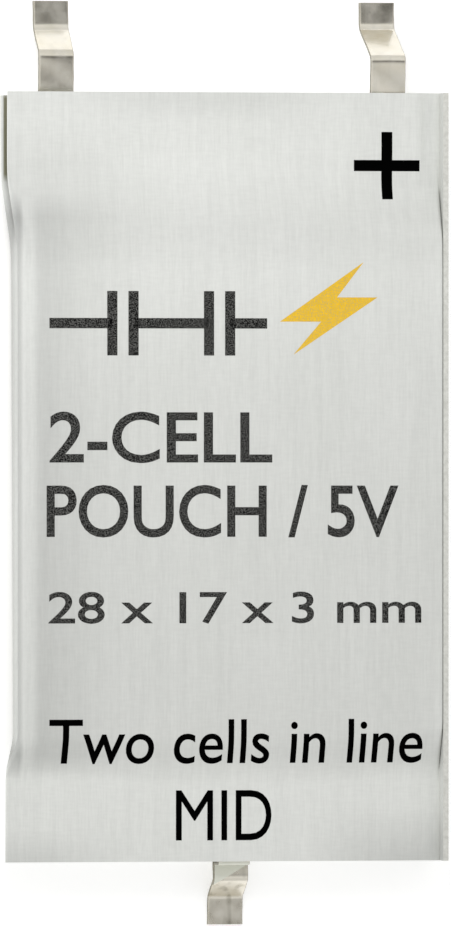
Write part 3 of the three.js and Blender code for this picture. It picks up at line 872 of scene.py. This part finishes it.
for seed, (name, wing) in enumerate(GULL_WINGS.items()):
    node = f"{name}_terminal"
    low, high = box_mm(node)
    foot_end = high[1] if wing["flat_end"] > 0 else low[1]
    end = math.copysign(1, foot_end)
    path = bent_path([
        (end * TAB_INNER, wing["seal"]), (end * HALF_LENGTH, wing["seal"]),
        (wing["flat_end"], wing["seal"] + wing["rise"]),
        (wing["foot_start"], METAL / 2), (foot_end, METAL / 2),
    ], [EXIT_RADIUS, *wing["radii"]])
    tab = build_strip(f"{name}_tab_strip", soften(path), wing["x"], TAB_WIDTH, wing["finish"],
                      tab_dents(seed))
    place(tab, "nickel", node)


# ---------------------------------------- joining tab

JOIN_STEP_FROM, JOIN_STEP_TO = -14.335, -14.345    # y of its step down at the pouch's edge
JOIN_STEP_RADIUS = 0.06
JOIN_LAP = 0.55                 # its length down the middle terminal's slope
JOIN_CUT_Y = -14.42             # where the slanting cut meets the tab's right edge
JOIN_CUT_SLOPE = 0.6
WELD_GAP = 0.01


def build_joining_tab():
    """The upper cell's inner tab: it steps down onto the middle terminal and follows its first
    bend, and a slanting cut takes off its lower right corner."""
    low, high = box_mm("joining_tab")
    wing = GULL_WINGS["middle"]
    distance = METAL + WELD_GAP
    flat_z = LOWER_SEAL + wing["rise"]
    slope = np.array([wing["foot_start"] - wing["flat_end"], METAL / 2 - flat_z])
    bend = math.atan2(slope[1], slope[0]) + math.pi
    lap_z = flat_z + distance
    lap_end = np.array([wing["flat_end"] - distance * math.tan(bend / 2), lap_z])
    path = bent_path([
        (-TAB_INNER, UPPER_SEAL), (JOIN_STEP_FROM, UPPER_SEAL), (JOIN_STEP_TO, lap_z),
        lap_end, lap_end + slope / np.linalg.norm(slope) * JOIN_LAP,
    ], [JOIN_STEP_RADIUS, JOIN_STEP_RADIUS, wing["radii"][0] + distance])
    centre_x, width = (low[0] + high[0]) / 2, high[0] - low[0]
    tab = build_strip("joining_tab_strip", path, centre_x, width, ALUMINIUM_TAB)
    mesh = bmesh.new()
    mesh.from_mesh(tab.data)
    cut = bmesh.ops.bisect_plane(
        mesh, geom=[*mesh.verts, *mesh.edges, *mesh.faces],
        plane_co=Vector((high[0], JOIN_CUT_Y, 0)) * MM,
        plane_no=Vector((JOIN_CUT_SLOPE, -1, 0)), clear_outer=True)
    rim = [edge for edge in cut["geom_cut"] if isinstance(edge, bmesh.types.BMEdge)]
    bmesh.ops.edgeloop_fill(mesh, edges=rim)
    for edge in rim:
        edge.smooth = False
    bmesh.ops.recalc_face_normals(mesh, faces=mesh.faces)
    mesh.to_mesh(tab.data)
    mesh.free()
    return place(tab, "aluminium_tab", "joining_tab")


build_joining_tab()


# ---------------------------------------- seal strips

SEAL_STRIP_SEED = 100           # keeps the seal strips' random draws apart from the terminals'
SEAL_STRIP_INSET = 0.02         # keeps the ragged edge inside the CAD strip's box


def build_seal_strip(node, seed):
    """A thin strip of sealing film whose outer edge has melted a little unevenly."""
    low, high = box_mm(node)
    end = math.copysign(1, high[1] + low[1])
    inner_y, outer_y = (low[1], high[1]) if end > 0 else (high[1], low[1])
    rng = np.random.default_rng(SEAL_STRIP_SEED + seed)
    phases = rng.uniform(0, 2 * math.pi, 2)
    xs = np.linspace(low[0], high[0], 48)
    ragged = 0.008 * np.sin(5.1 * xs + phases[0]) + 0.006 * np.sin(12.7 * xs + phases[1])
    rounding = 0.05 * (np.abs(xs - xs.mean()) / (xs[-1] - xs[0]) * 2) ** 12
    ends = outer_y + end * (ragged - SEAL_STRIP_INSET - rounding)
    shares = np.linspace(0, 1, 24)
    grid = np.zeros((len(shares), len(xs), 3))
    grid[:, :, 0] = xs
    grid[:, :, 1] = inner_y + shares[:, None] * (ends - inner_y)
    grid[:, :, 2] = (low[2] + high[2]) / 2
    if end > 0:
        grid = grid[:, ::-1]
    strip = sheet_solid(f"{node}_melted", grid, STRIP, SEALING_FILM, SEALING_FILM)
    return place(strip, "sealing_film", node)


strip_nodes = [name for name in sorted(frame["nodes"]) if "seal_strip" in name]
for seed, node in enumerate(strip_nodes):
    build_seal_strip(node, seed)


# ---------------------------------------- print

INK_THICKNESS = 0.008
INK_SINK = 0.25                 # how deep it goes into the face, as a share of its thickness
INK_CUT = 0.16                  # the ink is cut this fine to follow the face
ABOVE_FACE = 10.0               # the height from which the face is looked for

PLUS_CENTRE = (5.97, 11.55)
PLUS_REACH = 1.25
PLUS_HALF_STROKE = 0.205
SYMBOL_Y = 5.68
SYMBOL_ENDS = (-6.91, 1.3)
SYMBOL_PLATES = [(-4.55, -3.75), (-0.9, -0.1)]     # x of the two plates of each capacitor
SYMBOL_HALF_STROKE = 0.19
PLATE_REACH = 1.19
BOLT = [(4.95, 7.95), (1.79, 5.75), (3.35, 5.75), (2.3, 4.53), (5.48, 6.65), (3.95, 6.65)]
# Words, their range in x and in y, boldness and ink.
PRINTED_LINES = [
    ("2-CELL", (-6.91, 1.49), (0.51, 2.41), 0.012, SPECKLED_INK),
    ("POUCH / 5V", (-7.02, 6.28), (-2.24, -0.30), 0.012, SPECKLED_INK),
    ("28 x 17 x 3 mm", (-6.95, 7.15), (-5.43, -4.25), 0.008, SPECKLED_INK),
    ("Two cells in line", (-6.91, 7.27), (-10.62, -8.97), 0.004, BLACK_INK),
    ("MID", (-2.01, 1.60), (-13.46, -11.61), 0.0, BLACK_INK),
]


def outline_mesh(outlines):
    """A flat mesh of closed outlines, in millimetres."""
    mesh = bmesh.new()
    for outline in outlines:
        mesh.faces.new([mesh.verts.new((x, y, 0)) for x, y in outline])
    return mesh


def text_mesh(body, boldness):
    """A flat mesh of a line of text in the built-in font."""
    curve = bpy.data.curves.new("lettering", "FONT")
    curve.body = body
    curve.size = 1.0
    curve.offset = boldness
    curve.resolution_u = 6
    holder = add_object("lettering", curve)
    bpy.context.view_layer.update()
    depsgraph = bpy.context.evaluated_depsgraph_get()
    flat = bpy.data.meshes.new_from_object(holder.evaluated_get(depsgraph))
    mesh = bmesh.new()
    mesh.from_mesh(flat)
    bmesh.ops.remove_doubles(mesh, verts=mesh.verts, dist=1e-5)
    bpy.data.objects.remove(holder)
    bpy.data.curves.remove(curve)
    bpy.data.meshes.remove(flat)
    return mesh


def fit(mesh, x_range, y_range):
    """Stretches a flat mesh to fill a rectangle."""
    points = np.array([vertex.co[:2] for vertex in mesh.verts])
    low, high = points.min(0), points.max(0)
    for vertex in mesh.verts:
        vertex.co.x = lerp(x_range[0], x_range[1], (vertex.co.x - low[0]) / (high[0] - low[0]))
        vertex.co.y = lerp(y_range[0], y_range[1], (vertex.co.y - low[1]) / (high[1] - low[1]))


def lay_ink(name, mesh, surface, material, slot):
    """Lays a flat mesh on the printed face as a thin closed layer of ink."""
    points = np.array([vertex.co[:2] for vertex in mesh.verts])
    for axis in (0, 1):
        low, high = points[:, axis].min(), points[:, axis].max()
        for at in np.arange(math.ceil(low / INK_CUT) * INK_CUT, high, INK_CUT):
            place_of_cut, direction = Vector((0, 0, 0)), Vector((0, 0, 0))
            place_of_cut[axis], direction[axis] = at, 1
            bmesh.ops.bisect_plane(mesh, geom=[*mesh.verts, *mesh.edges, *mesh.faces],
                                   plane_co=place_of_cut, plane_no=direction, dist=1e-5)
    bmesh.ops.recalc_face_normals(mesh, faces=mesh.faces)
    if sum(face.normal.z * face.calc_area() for face in mesh.faces) < 0:
        bmesh.ops.reverse_faces(mesh, faces=mesh.faces)
    top = list(mesh.faces)
    under = bmesh.ops.duplicate(mesh, geom=[*mesh.verts, *mesh.edges, *mesh.faces])
    upper_verts = {vertex for face in top for vertex in face.verts}
    pairs = {a: b for a, b in under["vert_map"].items() if a in upper_verts}
    boundary = [edge for face in top for edge in face.edges if edge.is_boundary]
    bmesh.ops.reverse_faces(mesh, faces=[f for f in under["geom"] if isinstance(f, bmesh.types.BMFace)])
    for edge in boundary:
        loop = edge.link_loops[0]
        a, b = loop.vert, loop.link_loop_next.vert
        mesh.faces.new([b, a, pairs[a], pairs[b]])
    for vertex in mesh.verts:
        start = Vector((vertex.co.x * MM, vertex.co.y * MM, ABOVE_FACE * MM))
        hit = surface.ray_cast(start, Vector((0, 0, -1)))[0]
        rise = INK_THICKNESS if vertex in upper_verts else -INK_SINK * INK_THICKNESS
        vertex.co = Vector((start.x, start.y, hit.z + rise * MM))
    data = bpy.data.meshes.new(name)
    mesh.to_mesh(data)
    mesh.free()
    data.materials.append(material)
    return place(add_object(name, data), slot)


def bar(x_from, x_to, y_from, y_to):
    return [(x_from, y_from), (x_to, y_from), (x_to, y_to), (x_from, y_to)]


def plus_outline():
    corner_points = [
        (PLUS_HALF_STROKE, PLUS_REACH), (PLUS_HALF_STROKE, PLUS_HALF_STROKE),
        (PLUS_REACH, PLUS_HALF_STROKE),
    ]
    x, y = PLUS_CENTRE
    outline = []
    for turn in range(4):
        c, s = round(math.cos(turn * math.pi / 2)), round(math.sin(turn * math.pi / 2))
        outline += [(x + c * px + s * py, y - s * px + c * py) for px, py in corner_points]
    return outline[::-1]


def capacitor_outlines():
    """Two capacitors in a row: three wires, then two pairs of plates."""
    (first, second), (third, fourth) = SYMBOL_PLATES
    wires = [(SYMBOL_ENDS[0], first), (second, third), (fourth, SYMBOL_ENDS[1])]
    stroke = SYMBOL_HALF_STROKE
    outlines = [bar(left, right, SYMBOL_Y - stroke, SYMBOL_Y + stroke) for left, right in wires]
    outlines += [bar(x - stroke, x + stroke, SYMBOL_Y - PLATE_REACH, SYMBOL_Y + PLATE_REACH)
                 for x in (first, second, third, fourth)]
    return outlines


def build_print(surface):
    lay_ink("print_plus", outline_mesh([plus_outline()]), surface, BLACK_INK, "ink")
    lay_ink("print_symbol", outline_mesh(capacitor_outlines()), surface, SPECKLED_INK, "ink")
    lay_ink("print_bolt", outline_mesh([BOLT]), surface, AMBER_INK, "accent_ink")
    for number, (words, x_range, y_range, boldness, ink) in enumerate(PRINTED_LINES, start=1):
        mesh = text_mesh(words, boldness)
        fit(mesh, x_range, y_range)
        lay_ink(f"print_line_{number}", mesh, surface, ink, "ink")


upper_film = pouches["upper_cell_folded_film"]
corners = [vertex.co for vertex in upper_film.data.vertices]
polygons = [list(polygon.vertices) for polygon in upper_film.data.polygons]
build_print(BVHTree.FromPolygons(corners, polygons))


# ---------------------------------------- floor, light and camera

FLOOR_HALF = 4.0                # metres
FLOOR_Z = -0.02 * MM            # just under the object
FLOOR_GLOW = 0.42
# The tent's brightness for each cosine of the angle to the middle of its dim patch.
TENT_LEVELS = [
    (0.0, 0.72), (0.5, 0.74), (0.82, 0.80), (0.93, 0.86), (0.964, 0.84), (0.985, 0.52),
    (0.996, 0.16), (1.0, 0.08),
]
TENT_WARMTH = 0.985             # its blue, as a share of its red
TENT_LEAN = (-0.05, 0.08, 0.0)  # it is a little brighter to the left and beyond the two terminals
PATCH_LEAN = 15.0               # degrees that the dim patch leans to the right
KEY_SIZE = 0.02                 # metres
KEY_POWER = 0.0045              # watts
KEY_PLACE = (-0.008, 0.015, 0.035)
TILT = 12.0                     # degrees that the view leans from straight down, to the left
CAMERA_DISTANCE = 0.6           # metres
VIEW_LENGTH = 34.42 * MM        # seen over the frame's long side, at the object
SENSOR = 36.0                   # the camera's, in millimetres
AIM = (0.290 * MM, 0.513 * MM)  # to the right of and above the origin, in the picture plane


def build_floor():
    half = FLOOR_HALF
    corners = [(-half, -half, FLOOR_Z), (half, -half, FLOOR_Z), (half, half, FLOOR_Z),
               (-half, half, FLOOR_Z)]
    mesh = bpy.data.meshes.new("floor")
    mesh.from_pydata(corners, [], [(0, 1, 2, 3)])
    finish = Finish("pale_floor", Roughness=0.9, Emission_Strength=FLOOR_GLOW,
                    Emission_Color=(1, 1, 1, 1))
    grain = finish.noise(0.5, 2)
    finish.drive("Base Color", finish.tones(grain, (0.82, 0.82, 0.82), (0.83, 0.83, 0.83)))
    mesh.materials.append(finish.material)
    add_object("floor", mesh)


def build_world():
    """A light tent: bright all round, with a dimmer patch overhead where the camera stands."""
    world = bpy.data.worlds.new("light_tent")
    world.use_nodes = True
    tree = world.node_tree
    background = tree.nodes["Background"]
    direction = tree.nodes.new("ShaderNodeTexCoord").outputs["Generated"]

    def along(axis):
        """How far each direction points along an axis."""
        node = tree.nodes.new("ShaderNodeVectorMath")
        node.operation = "DOT_PRODUCT"
        node.inputs[1].default_value = axis
        tree.links.new(direction, node.inputs[0])
        return node.outputs["Value"]

    lean = math.radians(PATCH_LEAN)
    levels = tree.nodes.new("ShaderNodeValToRGB")
    fill_ramp(levels.color_ramp, [
        (position, (level, level, level * TENT_WARMTH)) for position, level in TENT_LEVELS])
    tree.links.new(along((math.sin(lean), 0, math.cos(lean))), levels.inputs["Fac"])
    strength = tree.nodes.new("ShaderNodeMath")
    strength.operation = "ADD"
    strength.inputs[1].default_value = 1.0
    tree.links.new(along(TENT_LEAN), strength.inputs[0])
    tree.links.new(levels.outputs["Color"], background.inputs["Color"])
    tree.links.new(strength.outputs[0], background.inputs["Strength"])
    bpy.context.scene.world = world


def build_key_light():
    """A soft light close by, beyond the end with two terminals."""
    data = bpy.data.lights.new("key_light", "AREA")
    data.shape = "DISK"
    data.size = KEY_SIZE
    data.energy = KEY_POWER
    key = add_object("key_light", data)
    key.location = KEY_PLACE
    key.rotation_euler = (-Vector(KEY_PLACE)).to_track_quat("-Z", "Y").to_euler()
    key.visible_camera = False
    key.visible_glossy = False


def build_camera():
    lean = math.radians(TILT)
    forward = Vector((math.sin(lean), 0, -math.cos(lean)))
    right = Vector((math.cos(lean), 0, math.sin(lean)))
    up = Vector((0, 1, 0))
    data = bpy.data.cameras.new("camera")
    data.sensor_width = SENSOR
    data.lens = SENSOR * CAMERA_DISTANCE / VIEW_LENGTH
    data.clip_start, data.clip_end = 0.05, 20.0
    camera = add_object("camera", data)
    turn = Matrix((right, up, -forward)).transposed().to_4x4()
    aim = right * AIM[0] + up * AIM[1]
    camera.matrix_world = Matrix.Translation(aim - forward * CAMERA_DISTANCE) @ turn
    bpy.context.scene.camera = camera


build_floor()
build_world()
build_key_light()
build_camera()
bpy.context.scene.view_settings.view_transform = "Standard"
